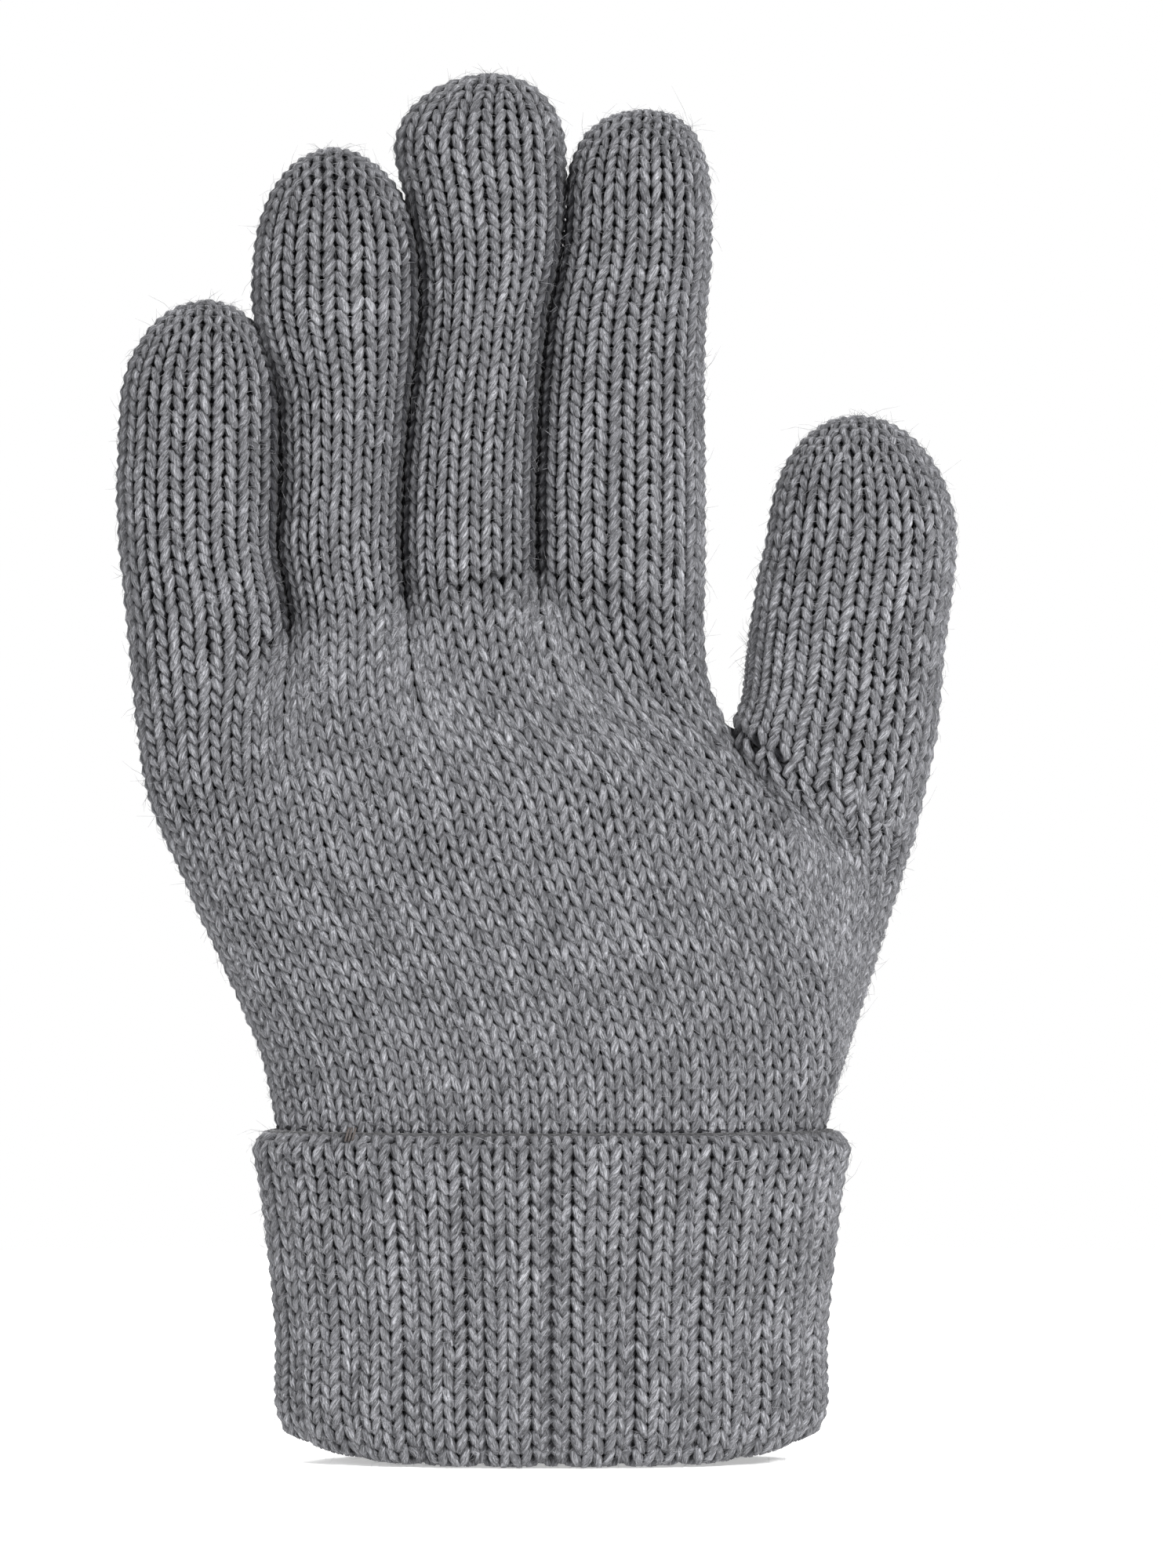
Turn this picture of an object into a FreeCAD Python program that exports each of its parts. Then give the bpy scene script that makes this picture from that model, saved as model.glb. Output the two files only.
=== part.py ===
import FreeCAD, Part
import os

# A knitted glove for a right hand, filled as if worn, in millimetres.
# +Z points to the fingertips, +X to the thumb, and the palm faces -Y.
# The origin is the middle of the cuff's open end, where the hand goes in.
#
# The glove is one hollow knit. It is divided where the hand inside it bends: each finger is
# a lower and an upper sleeve, and wedge-shaped rings of knit lie at its root and its middle
# joint, wide towards the palm, where the cloth folds as the finger curls.

doc = FreeCAD.newDocument("KnittedGlove")
sheet = doc.addObject("Spreadsheet::Sheet", "sizes")

DRIVING_SIZES = {
    "knit_wall": 2.5,
    "seam_gap": 0.1,
    "finger_half_depth": 10.2,
    "thumb_half_depth": 13.2,
    "start_half_depth": 7.0,
    # How far each wedge-shaped ring reaches from its hinge, at the palm side and at the back.
    "finger_wedge_palm": 10.5,
    "finger_wedge_back": 2.0,
    "thumb_wedge_palm": 7.4,
    "thumb_wedge_back": 2.0,
    "wedge_half_depth": 15.0,
    # The four fingers' part of the hand, up to where the fingers divide.
    "hand_top_wall": 2.5,
    "wrist_low_z": 57.5,
    "wrist_high_z": 69.5,
    "wrist_low_half": 47.6,
    "wrist_low_depth": 16.5,
    # The doubled rib cuff: an inner layer, and an outer layer turned up over it.
    "cuff_layer_wall": 2.4,
    "cuff_fold_height": 6.0,
    "cuff_fold_round": 2.3,
    "cuff_low_half": 48.2,
    "cuff_low_depth": 19.0,
    "cuff_high_half": 50.8,
    "cuff_high_depth": 20.0,
    "cuff_edge_low_z": 52.0,
    "cuff_edge_high_z": 56.4,
    "cuff_edge_swell": 0.5,
    "cuff_edge_round": 1.3,
    # The thread that tacks the turned-up edge to the wrist.
    "tack_radius": 0.6,
    "tack_length": 2.2,
    "tack_x": -34.4,
    "tack_y": -13.2,
}

# The hand's sections, from the wrist up: middle x, height, half width and half depth.
HAND_SECTIONS = {
    "wrist": (-0.3, 69.5, 49.7, 16.9),
    "heel": (-1.2, 88.0, 56.6, 17.8),
    "palm": (-8.0, 107.0, 58.2, 17.6),
    "knuckles": (-19.7, 127.0, 51.4, 14.0),
    "top": (-24.2, 141.0, 48.6, 10.9),
}

# The digits' sections, from inside the hand to where the rounded end starts: middle x, height
# and half width. Then come the tip's height, the end of the hand's knit and the two hinges.
DIGITS = {
    "little": {
        "start": (-58.0, 118.0, 9.5),
        "root": (-60.75, 148.0, 13.0),
        "middle": (-61.2, 163.0, 13.1),
        "bend": (-61.35, 176.0, 13.1),
        "upper": (-61.3, 183.0, 12.9),
        "dome": (-60.9, 187.5, 12.7),
        "heights": (200.8, 142.5, 151.0, 177.0),
    },
    "ring": {
        "start": (-35.6, 122.0, 8.5),
        "root": (-36.2, 148.0, 10.3),
        "middle": (-36.1, 172.0, 10.3),
        "bend": (-35.9, 190.0, 11.3),
        "upper": (-37.7, 202.0, 12.8),
        "dome": (-37.8, 212.0, 12.6),
        "heights": (227.2, 147.0, 155.5, 191.0),
    },
    "middle": {
        "start": (-13.8, 124.0, 8.5),
        "root": (-13.95, 153.0, 10.9),
        "middle": (-13.5, 176.0, 10.7),
        "bend": (-11.7, 197.0, 10.6),
        "upper": (-11.2, 212.0, 12.0),
        "dome": (-11.6, 227.0, 12.8),
        "heights": (240.0, 152.0, 160.5, 198.0),
    },
    "index": {
        "start": (11.0, 122.0, 9.5),
        "root": (12.3, 152.0, 13.8),
        "middle": (12.6, 175.0, 13.6),
        "bend": (13.5, 195.0, 13.1),
        "upper": (14.9, 208.0, 12.6),
        "dome": (15.2, 220.5, 12.1),
        "heights": (233.7, 152.0, 160.5, 195.0),
    },
    "thumb": {
        "start": (30.0, 71.0, 11.0),
        "base": (40.8, 98.0, 18.4),
        "root": (50.0, 128.0, 16.7),
        "bend": (52.7, 155.0, 16.6),
        "dome": (53.9, 165.0, 15.7),
        "heights": (180.8, 127.5, 132.5, 156.0),
    },
}
HEIGHT_NAMES = ("tip", "hand_end", "root_hinge", "bend_hinge")
BELOW_HAND = 5.0
ABOVE_TIP = 10.0
BLOCK_HALF_WIDTH = 100.0
QUARTER_ROUND_ANGLES = (0, 30, 60, 90)


def add_size(alias, value):
    """Put one driving size in the next row of the sheet."""
    add_size.row += 1
    sheet.set(f"A{add_size.row}", alias)
    sheet.set(f"B{add_size.row}", str(value))
    sheet.setAlias(f"B{add_size.row}", alias)


def fill_sheet():
    add_size.row = 0
    for alias, value in DRIVING_SIZES.items():
        add_size(alias, value)
    for section, (x, z, half_width, half_depth) in HAND_SECTIONS.items():
        add_size(f"hand_{section}_x", x)
        add_size(f"hand_{section}_z", z)
        add_size(f"hand_{section}_half", half_width)
        add_size(f"hand_{section}_depth", half_depth)
    for digit, sections in DIGITS.items():
        for name, height in zip(HEIGHT_NAMES, sections["heights"]):
            add_size(f"{digit}_{name}_z", height)
        for section in digit_sections(digit):
            x, z, half_width = sections[section]
            add_size(f"{digit}_{section}_x", x)
            add_size(f"{digit}_{section}_z", z)
            add_size(f"{digit}_{section}_half", half_width)
    doc.recompute()


def digit_sections(digit):
    return [name for name in DIGITS[digit] if name != "heights"]


def bind(item, **expressions):
    """Bind an object's properties to expressions; a double underscore stands for a full stop."""
    for name, expression in expressions.items():
        item.setExpression(name.replace("__", "."), expression)
    return item


def oval(name, x, z, half_width, half_depth):
    """A level ellipse with its middle at x, z."""
    ring = doc.addObject("Part::Ellipse", name)
    return bind(
        ring,
        MajorRadius=half_width,
        MinorRadius=half_depth,
        Placement__Base__x=x,
        Placement__Base__z=z,
    )


def loft(name, sections):
    skin = doc.addObject("Part::Loft", name)
    skin.Sections = sections
    skin.Solid = True
    return skin


def cut(name, base, tool):
    result = doc.addObject("Part::Cut", name)
    result.Base = base
    result.Tool = tool
    return result


def common(name, base, tool):
    result = doc.addObject("Part::Common", name)
    result.Base = base
    result.Tool = tool
    return result


def fuse(name, shapes):
    result = doc.addObject("Part::MultiFuse", name)
    result.Shapes = shapes
    return result


def digit_depth(digit, section):
    if section == "start":
        return "sizes.start_half_depth"
    if digit == "thumb":
        return "sizes.thumb_half_depth"
    return "sizes.finger_half_depth"


def digit_form(digit, layer, inset):
    """A digit's tube with its rounded end, less the inset all round."""
    rings = []
    for section in digit_sections(digit):
        cell = f"sizes.{digit}_{section}"
        height = f"{cell}_z"
        if section == "start":
            # The hollow starts lower than the knit, so that it opens into the hand.
            height = f"{cell}_z - 2 * ({inset})"
        rings.append(
            oval(
                f"{digit}_{layer}_{section}_oval",
                f"{cell}_x",
                height,
                f"{cell}_half - {inset}",
                f"{digit_depth(digit, section)} - {inset}",
            )
        )
    tube = loft(f"{digit}_{layer}_tube", rings)
    end = doc.addObject("Part::Ellipsoid", f"{digit}_{layer}_end")
    end.Angle1 = 0
    cell = f"sizes.{digit}_dome"
    bind(
        end,
        Radius1=f"sizes.{digit}_tip_z - {cell}_z - {inset}",
        Radius2=f"{cell}_half - {inset}",
        Radius3=f"{digit_depth(digit, 'dome')} - {inset}",
        Placement__Base__x=f"{cell}_x",
        Placement__Base__z=f"{cell}_z",
    )
    return fuse(f"{digit}_{layer}_form", [tube, end])


def block(name, low_palm, low_back, high_palm, high_back):
    """A block across the glove whose ends may slope from the palm side to the back."""
    wedge = doc.addObject("Part::Wedge", name)
    wedge.Xmin = wedge.X2min = -BLOCK_HALF_WIDTH
    wedge.Xmax = wedge.X2max = BLOCK_HALF_WIDTH
    return bind(
        wedge,
        Ymin="-sizes.wedge_half_depth",
        Ymax="sizes.wedge_half_depth",
        Zmin=low_palm,
        Z2min=low_back,
        Zmax=high_palm,
        Z2max=high_back,
    )


def divide_digit(digit, shell):
    """Divide a digit's shell into its root ring, lower sleeve, knuckle ring and upper sleeve."""
    kind = "thumb" if digit == "thumb" else "finger"
    palm = f"sizes.{kind}_wedge_palm"
    back = f"sizes.{kind}_wedge_back"
    gap = "sizes.seam_gap"
    hand_end = f"sizes.{digit}_hand_end_z + {gap}"
    root = f"sizes.{digit}_root_hinge_z"
    bend = f"sizes.{digit}_bend_hinge_z"
    top = f"sizes.{digit}_tip_z + {ABOVE_TIP}"
    ends = {
        "root_knit": (hand_end, hand_end, f"{root} + {palm}", f"{root} + {back}"),
        "lower_sleeve": (
            f"{root} + {palm} + {gap}",
            f"{root} + {back} + {gap}",
            f"{bend} - {palm}",
            f"{bend} - {back}",
        ),
        "knuckle_knit": (
            f"{bend} - {palm} + {gap}",
            f"{bend} - {back} + {gap}",
            f"{bend} + {palm}",
            f"{bend} + {back}",
        ),
        "upper_sleeve": (f"{bend} + {palm} + {gap}", f"{bend} + {back} + {gap}", top, top),
    }
    return {
        f"{digit}_{part}": common(
            f"{digit}_{part}", shell, block(f"{digit}_{part}_block", *limits)
        )
        for part, limits in ends.items()
    }


def hand_form(layer, inset):
    """The hand's tapering form, less the inset all round; a hollow one runs out at the wrist."""
    rings = []
    if layer == "hollow":
        rings.append(
            oval(
                "hand_hollow_way_out",
                "sizes.hand_wrist_x",
                f"sizes.hand_wrist_z - {BELOW_HAND}",
                f"sizes.hand_wrist_half - {inset}",
                f"sizes.hand_wrist_depth - {inset}",
            )
        )
    for section in HAND_SECTIONS:
        cell = f"sizes.hand_{section}"
        height = f"{cell}_z"
        if section == "top" and layer == "hollow":
            height = f"{cell}_z - sizes.hand_top_wall"
        rings.append(
            oval(
                f"hand_{layer}_{section}_oval",
                f"{cell}_x",
                height,
                f"{cell}_half - {inset}",
                f"{cell}_depth - {inset}",
            )
        )
    return loft(f"hand_{layer}_form", rings)


def hand_and_digits():
    """The palm tube, open to its five digits, and the pieces of each digit."""
    pieces = {}
    knits = [hand_form("knit", "0")]
    hollows = [hand_form("hollow", "sizes.knit_wall")]
    for digit in DIGITS:
        knit = digit_form(digit, "knit", "0")
        hollow = digit_form(digit, "hollow", "sizes.knit_wall")
        pieces.update(divide_digit(digit, cut(f"{digit}_shell", knit, hollow)))
        end = f"sizes.{digit}_hand_end_z"
        below = block(f"{digit}_hand_block", "0", "0", end, end)
        knits.append(common(f"{digit}_hand_knit", knit, below))
        hollows.append(hollow)
    pieces["palm_tube"] = cut("palm_tube", fuse("hand_knit", knits), fuse("hand_hollow", hollows))
    return pieces


def tube(name, levels, wall):
    """An oval tube on the Z axis; each level is its height, half width, half depth and rounding."""
    skins = []
    for layer in ("outside", "inside"):
        rings = []
        for number, (z, half, depth, rounding) in enumerate(levels):
            inset = rounding if layer == "outside" else f"{wall} - ({rounding})"
            oval_name = f"{name}_{layer}_{number}"
            rings.append(oval(oval_name, "0", z, f"{half} - ({inset})", f"{depth} - ({inset})"))
        skins.append(loft(f"{name}_{layer}", rings))
    return cut(name, *skins)


def rounded_levels(half, depth, radius, height_of):
    """Levels of a quarter round that starts at full roundness; height_of gives each its z."""
    return [
        (
            height_of(f"{radius} * (1 - cos({angle} deg))"),
            half,
            depth,
            f"{radius} * (1 - sin({angle} deg))",
        )
        for angle in QUARTER_ROUND_ANGLES
    ]


def wrist():
    levels = [
        ("sizes.wrist_low_z", "sizes.wrist_low_half", "sizes.wrist_low_depth", "0"),
        (
            "sizes.wrist_high_z - sizes.seam_gap",
            "sizes.hand_wrist_half",
            "sizes.hand_wrist_depth",
            "0",
        ),
    ]
    return {"wrist_knit": tube("wrist_knit", levels, "sizes.knit_wall")}


def cuff():
    """The cuff's two layers, the fold that joins them, and the turned-up layer's thick edge."""
    half, depth = "sizes.cuff_low_half", "sizes.cuff_low_depth"
    wall = "sizes.cuff_layer_wall"
    gap = "sizes.seam_gap"
    fold_top = "sizes.cuff_fold_height"
    above_fold = f"{fold_top} + {gap}"
    inner_inset = f"{wall} + {gap}"
    turned_up_levels = [
        (above_fold, half, depth, "0"),
        (f"sizes.cuff_edge_low_z - {gap}", "sizes.cuff_high_half", "sizes.cuff_high_depth", "0"),
    ]
    inner_levels = [
        (above_fold, f"{half} - ({inner_inset})", f"{depth} - ({inner_inset})", "0"),
        (f"sizes.wrist_low_z - {gap}", "sizes.wrist_low_half", "sizes.wrist_low_depth", "0"),
    ]
    fold_levels = rounded_levels(half, depth, "sizes.cuff_fold_round", lambda rise: rise)
    fold_levels.append((fold_top, half, depth, "0"))
    edge_half = "sizes.cuff_high_half + sizes.cuff_edge_swell"
    edge_depth = "sizes.cuff_high_depth + sizes.cuff_edge_swell"
    edge_levels = rounded_levels(
        edge_half,
        edge_depth,
        "sizes.cuff_edge_round",
        lambda rise: f"sizes.cuff_edge_high_z - {rise}",
    )
    edge_levels.append(("sizes.cuff_edge_low_z", edge_half, edge_depth, "0"))
    return {
        "cuff_turned_up_layer": tube("cuff_turned_up_layer", turned_up_levels, wall),
        "cuff_inner_layer": tube("cuff_inner_layer", inner_levels, wall),
        "cuff_fold": tube("cuff_fold", fold_levels, f"2 * {wall} + {gap}"),
        "cuff_top_edge": tube("cuff_top_edge", edge_levels[::-1], f"{wall} + sizes.cuff_edge_swell"),
    }


def tack():
    """The short bar of thread that holds the turned-up edge against the wrist."""
    bar = doc.addObject("Part::Cylinder", "cuff_tack_stitch")
    bar.Placement.Rotation = FreeCAD.Rotation(FreeCAD.Vector(0, 1, 0), 90)
    bind(
        bar,
        Radius="sizes.tack_radius",
        Height="sizes.tack_length",
        Placement__Base__x="sizes.tack_x - sizes.tack_length / 2",
        Placement__Base__y="sizes.tack_y",
        Placement__Base__z="sizes.cuff_edge_high_z + sizes.tack_radius + sizes.seam_gap",
    )
    return {"cuff_tack_stitch": bar}


def check(pieces):
    """Stop if any object failed or any piece isn't one or more sound solids."""
    for item in doc.Objects:
        if "Invalid" in item.State or "Error" in item.State:
            raise SystemExit(f"{item.Name} failed: {item.State}")
    for name, piece in pieces.items():
        shape = piece.Shape
        if shape.isNull() or not shape.isValid() or not shape.Solids:
            raise SystemExit(f"{name} has no sound shape")
        print(f"{name}: {len(shape.Solids)} solid, {shape.Volume / 1000:.2f} cm3")


def export(pieces):
    os.makedirs("parts", exist_ok=True)
    for name, piece in pieces.items():
        piece.Label = name
        piece.Shape.exportStep(f"parts/{name}.step")


fill_sheet()
glove = {**cuff(), **tack(), **wrist(), **hand_and_digits()}
doc.recompute()
check(glove)
export(glove)
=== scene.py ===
import math

import bpy
import numpy as np
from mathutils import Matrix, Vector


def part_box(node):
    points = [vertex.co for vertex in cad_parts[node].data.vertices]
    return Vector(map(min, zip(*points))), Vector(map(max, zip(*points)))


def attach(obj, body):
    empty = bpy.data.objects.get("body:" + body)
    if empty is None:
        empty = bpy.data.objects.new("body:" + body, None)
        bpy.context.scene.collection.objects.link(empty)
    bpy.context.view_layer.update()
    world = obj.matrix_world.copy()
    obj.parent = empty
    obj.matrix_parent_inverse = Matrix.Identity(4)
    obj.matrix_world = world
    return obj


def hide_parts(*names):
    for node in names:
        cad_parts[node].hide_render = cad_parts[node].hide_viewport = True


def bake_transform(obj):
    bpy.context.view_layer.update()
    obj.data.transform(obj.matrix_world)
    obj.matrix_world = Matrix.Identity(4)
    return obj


# A knitted glove built from its yarn: every stitch is a real loop, and each course of loops is
# one strand round the hand or a digit, over a thin lining, dark with painted shade, that shows between
# the loops.
# Shapes are worked out in millimetres, with +Z to the fingertips and the palm at -Y.
# On every knitted surface, u counts wales (columns of stitches) and v counts courses (rows).

MM = 0.001
FULL_TURN = 2 * math.pi
SEED = 4

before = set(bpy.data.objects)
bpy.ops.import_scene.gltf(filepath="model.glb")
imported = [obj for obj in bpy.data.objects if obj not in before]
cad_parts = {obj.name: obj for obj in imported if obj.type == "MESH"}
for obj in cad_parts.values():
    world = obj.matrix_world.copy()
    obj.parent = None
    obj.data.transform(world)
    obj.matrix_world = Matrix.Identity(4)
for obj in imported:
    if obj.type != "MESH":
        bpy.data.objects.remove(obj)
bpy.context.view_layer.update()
random = np.random.default_rng(SEED)

# The middle of the yarn lies this far inside the glove's outline.
PROUD = 1.0
# How far a loop rises and falls, in courses, and how much thicker its yarn is where it stands out.
LOOP_HEIGHT = 0.92
LEG_SWELL = 0.14
# How far the lining lies inside the middle of the yarn, and its thickness.
LINING_DEPTH = 1.45
LINING_THICKNESS = 0.7
# The length of yarn in which its plies go once round.
PLY_PITCH = 20.0

YARN_COLOUR = (0.146, 0.147, 0.156)
# Yarn that stands out this far from the middle of the knit has its full colour. Further in it is
# darker with painted shade for the crevices between the stitches, darkest at the second height.
UNSHADED_HEIGHT = 1.5
FULL_SHADE_HEIGHT = 0.0
# Yarn on a digit's flank beside its neighbour gets painted shade between the fingers, as if it lay
# this much further in.
FINGER_GAP_SHADE_DEPTH = 0.75
# The lining stands for the back of the knit; its dark colour is painted shade of the glove's inside,
# seen between the loops.
LINING_SHADE_COLOUR = (0.022, 0.022, 0.024)

# ---------------------------------------------------------------- the glove's shape

# The outline of the hand, against height: the little finger's side, and the thumb's side.
LITTLE_SIDE = [(50, -46.5), (60, -47.8), (71, -50.2), (87, -57.2), (98, -62.5),
               (114, -67.8), (122, -70.4), (131, -71.8), (147, -73.5), (160, -74.5)]
THUMB_SIDE = [(50, 46.5), (60, 47.7), (71, 51.1), (82, 54.7), (93, 58.0),
              (104, 61.0), (114, 64.0), (120, 65.6), (131, 67.2)]
# Where the four fingers' part of the hand ends, beside the thumb.
INDEX_SIDE = [(50, 46.5), (100, 42.0), (115, 36.5), (127, 33.4), (133, 29.6), (138, 28.2),
              (147, 27.0), (158, 26.6)]
# Half the hand's depth against height, and one value of it for the rough length round the hand.
HAND_DEPTH = [(50, 16.3), (60, 16.5), (70, 16.9), (88, 17.8), (107, 17.6), (127, 14.4),
              (141, 12.0), (155, 11.0)]
MEAN_HALF_DEPTH = 17

HAND_START = 54.0
HAND_COURSES = 35
THUMB_COURSE = 27
PALM_WALES = 32
GUSSET_WALES = 8
# The gusset is the wedge of knit that widens towards the thumb.
GUSSET_WIDTH = 29.0
GUSSET_FULL_COURSE = 22.0
GUSSET_STITCHES_FULL_COURSE = 18.0
GUSSET_REACH = 0.9
GUSSET_CURVE = 1.1
# The heights where the knit of the hand ends: along the fingers' roots, and along the thumb's.
FINGER_LINE = [(0, 128), (3, 135.5), (8, 144.5), (12, 147), (16, 150), (20, 151.5), (24, 154.5),
               (28, 152), (32, 149)]
THUMB_LINE = [(0, 127.3), (4, 118.5), (8, 107)]
# The web is where one tube turns into the roots of the digits.
WEB_HEIGHT = 13.0
WEB_CURVE = 1.6
FINGER_WEB_COURSES = 14
THUMB_WEB_COURSES = 8.0

# Each digit: its outline as height, middle x and half width; its half depth; where its rounded end
# starts and how blunt that end is; its tip as x and height; the heights of its first course at its
# two sides; its course pitch; the seam between its lower and upper knit; where the blends at its
# root and at its knuckle start and end; and its neighbours, as the side they are on and how high
# they reach.
DIGITS = {
    "little": {
        "outline": [(120, -57.6, 13.4), (131, -58.4, 13.6), (147, -59.2, 14.3), (158, -61.0, 13.7),
                    (169, -61.0, 14.2), (180, -60.7, 13.9), (195, -60.6, 13.9)],
        "depth": 10.4, "dome": 181.0, "blunt": 2.1, "tip": (-59.9, 200.8),
        "line": (128.0, 144.5), "pitch": 2.25, "seam": 164.0,
        "hand_end": 145.0, "root_end": 162.0, "bend": (166.0, 188.0),
        "neighbours": ((1, 196.0),),
    },
    "ring": {
        "outline": [(140, -34.8, 10.2), (148, -35.2, 10.2), (158, -36.6, 10.9), (171, -36.0, 10.6),
                    (185, -35.7, 11.6), (193, -36.6, 13.6), (200, -37.2, 14.7), (207, -37.1, 14.4),
                    (225, -37.0, 14.1)],
        "depth": 10.4, "dome": 207.0, "blunt": 2.0, "tip": (-37.8, 227.2),
        "line": (144.5, 150.0), "pitch": 2.15, "seam": 174.0,
        "hand_end": 150.5, "root_end": 168.0, "bend": (179.0, 203.0),
        "neighbours": ((-1, 196.0), (1, 223.0)),
    },
    "middle": {
        "outline": [(145, -13.6, 11.2), (158, -14.2, 11.8), (171, -14.0, 11.6), (185, -13.0, 11.2),
                    (199, -11.5, 11.0), (207, -10.6, 12.2), (218, -11.2, 13.7), (226, -12.4, 14.7),
                    (240, -12.6, 14.8)],
        "depth": 10.4, "dome": 226.0, "blunt": 2.1, "tip": (-10.8, 240.0),
        "line": (150.0, 154.5), "pitch": 2.15, "seam": 180.0,
        "hand_end": 155.0, "root_end": 174.0, "bend": (186.0, 210.0),
        "neighbours": ((-1, 223.0), (1, 230.0)),
    },
    "index": {
        "outline": [(145, 11.9, 14.4), (158, 12.0, 14.4), (171, 12.0, 14.4), (185, 12.2, 14.0),
                    (199, 13.1, 13.5), (207, 14.6, 13.0), (215, 15.1, 12.5), (230, 14.8, 12.4)],
        "depth": 10.4, "dome": 217.0, "blunt": 2.5, "tip": (15.8, 233.7),
        "line": (154.5, 149.0), "pitch": 2.15, "seam": 180.0,
        "hand_end": 155.0, "root_end": 174.0, "bend": (183.0, 207.0),
        "neighbours": ((-1, 230.0),),
    },
    "thumb": {
        "outline": [(100, 44.0, 16.6), (107, 45.6, 16.8), (118, 47.6, 17.3), (126, 48.8, 17.9),
                    (132, 50.3, 16.9), (142, 51.1, 16.8), (152, 52.6, 16.9), (160, 53.8, 16.3),
                    (175, 53.8, 16.2)],
        "depth": 13.4, "dome": 158.0, "blunt": 2.1, "tip": (52.9, 180.8),
        "line": (127.3, 107.0), "pitch": 2.2, "seam": 144.6,
        "hand_end": 127.5, "root_end": 143.0, "bend": (146.0, 167.0),
        "neighbours": (),
    },
}
DIGIT_WALES = 16
# Courses with a shorter way round have fewer stitches than this width allows, and finer yarn.
SMALLEST_WALE = 3.4
SMALLEST_YARN = 0.64
YARN_SHARE = 0.174
# The share of a digit's straight courses over which its slanting first course turns level.
TILT_FADE = 0.75
# Courses are closer together on the rounded end, which leaves a small hole for the lining's tip.
DOME_CROWDING = 1.45
DOME_SHARE = 0.985
# Each oval's depth for its width, used to share out its stitches evenly.
DIGIT_OVAL = 0.78
PALM_OVAL = 0.3
CUFF_OVAL = 0.39
# Where the painted shade between fingers begins on a digit's flank beside its neighbour, and how far
# below the neighbour's top it fades.
SHADE_FLANK_START = 0.74
SHADE_FLANK_WIDTH = 0.17
SHADE_FLANK_FADE = 10

CUFF_WALES = 58
CUFF_PITCH = 2.6
# The cuff's half width and half depth against height, before the yarn's own thickness.
CUFF_OUTLINE = [(-2, 45.6, 17.8), (5, 47.0, 18.6), (11, 48.0, 19.0), (22, 47.7, 19.0),
                (40, 49.6, 19.5), (50, 50.8, 19.9), (58, 51.0, 20.0)]
# The turned-up edge, the outside, the fold and the inner layer: distance out and height.
CUFF_PATH = [(-3.6, 53.2), (-3.3, 55.0), (-1.9, 56.0), (-0.5, 55.2), (-0.3, 53.2), (-0.9, 50.5),
             (-1.2, 46.0), (-1.2, 5.0), (-1.5, 2.9), (-2.4, 1.0), (-3.6, 1.7), (-4.3, 4.0),
             (-4.5, 8.0), (-4.5, 50.0), (-4.3, 58.0)]
# Everything further out than this is the cuff's outside, which has the rib's grooves.
CUFF_OUTSIDE = -2.0
# The bottom edge rises towards both sides of the cuff, and a little in each groove.
CUFF_END_RISE = 4.2
CUFF_GROOVE_RISE = 0.35
CUFF_RISE_HEIGHT = 24.0
RIB_GROOVE_DEPTH = 1.5
RIB_GROOVE_WIDTH = 0.42
# The grooves are shallower on the cuff's flanks, and start below the turned-up edge.
FLANK_GROOVE_SHARE = 0.35
GROOVE_FADE_START = 0.35
GROOVE_FADE_WIDTH = 0.4
GROOVE_FADE_IN = 9.0
# The wales that have a groove before them: the palm side's, then the back's.
RIB_GROOVES = np.array((2, 5, 8, 11, 14, 15, 18, 21, 24, 27, 31, 34, 37, 40, 43, 46, 49, 52, 55))


def ease(x):
    x = np.clip(x, 0.0, 1.0)
    return x * x * (3 - 2 * x)


def along(table, heights, column=1, softness=3.0):
    """A rounded curve through a table's rows, read at the given heights."""
    rows = np.array(table, float)
    spread = np.linspace(-softness, softness, 7)
    heights = np.asarray(heights, float)
    curves = [np.interp(heights + step, rows[:, 0], rows[:, column]) for step in spread]
    return sum(curves) / len(spread)


def even_angles(depth_share):
    """A function that turns an even share of an oval's half perimeter into an angle."""
    angle = np.linspace(0, math.pi, 361)
    speed = np.hypot(np.sin(angle), depth_share * np.cos(angle))
    walked = np.concatenate([[0], np.cumsum((speed[1:] + speed[:-1]) / 2)])
    walked /= walked[-1]
    return lambda share: np.interp(share, walked, angle)


def stack(x, y, z):
    return np.stack(np.broadcast_arrays(x, y, z), axis=-1)


def digit_surface(digit):
    """One digit's surface as a function of u and v, and its straight and rounded courses."""
    tip_x, tip_z = digit["tip"]
    dome = digit["dome"]
    depth = digit["depth"] - PROUD
    left, right = digit["line"]
    middle_start = (left + right) / 2
    straight = round((dome - middle_start) / digit["pitch"])
    dome_height = tip_z - PROUD - dome
    dome_courses = round(DOME_CROWDING * dome_height / digit["pitch"])
    angle_at = even_angles(DIGIT_OVAL)
    blunt = digit["blunt"]

    def surface(u, v):
        u, v = np.broadcast_arrays(np.asarray(u, float), np.asarray(v, float))
        share = np.mod(u, DIGIT_WALES) / (DIGIT_WALES / 2)
        angle = np.where(share <= 1, angle_at(share), FULL_TURN - angle_at(2 - share))
        across = -np.cos(angle)
        tilt = (right - left) / 2 * (1 - ease(v / (TILT_FADE * straight)))
        level = middle_start + (dome - middle_start) * np.minimum(v, straight) / straight
        z = level + across * tilt
        turn = np.clip((v - straight) / dome_courses, 0, DOME_SHARE) * math.pi / 2
        rise = np.sin(turn) ** (2 / blunt)
        shrink = np.cos(turn) ** (2 / blunt)
        z = np.where(v > straight, dome + dome_height * rise, z)
        middle = along(digit["outline"], z)
        middle = middle + (tip_x - middle) * np.where(v > straight, rise, 0) ** 2
        half = (along(digit["outline"], z, 2) - PROUD) * shrink
        return stack(middle + half * across, -depth * shrink * np.sin(angle), z)

    return surface, straight, dome_courses


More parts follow.
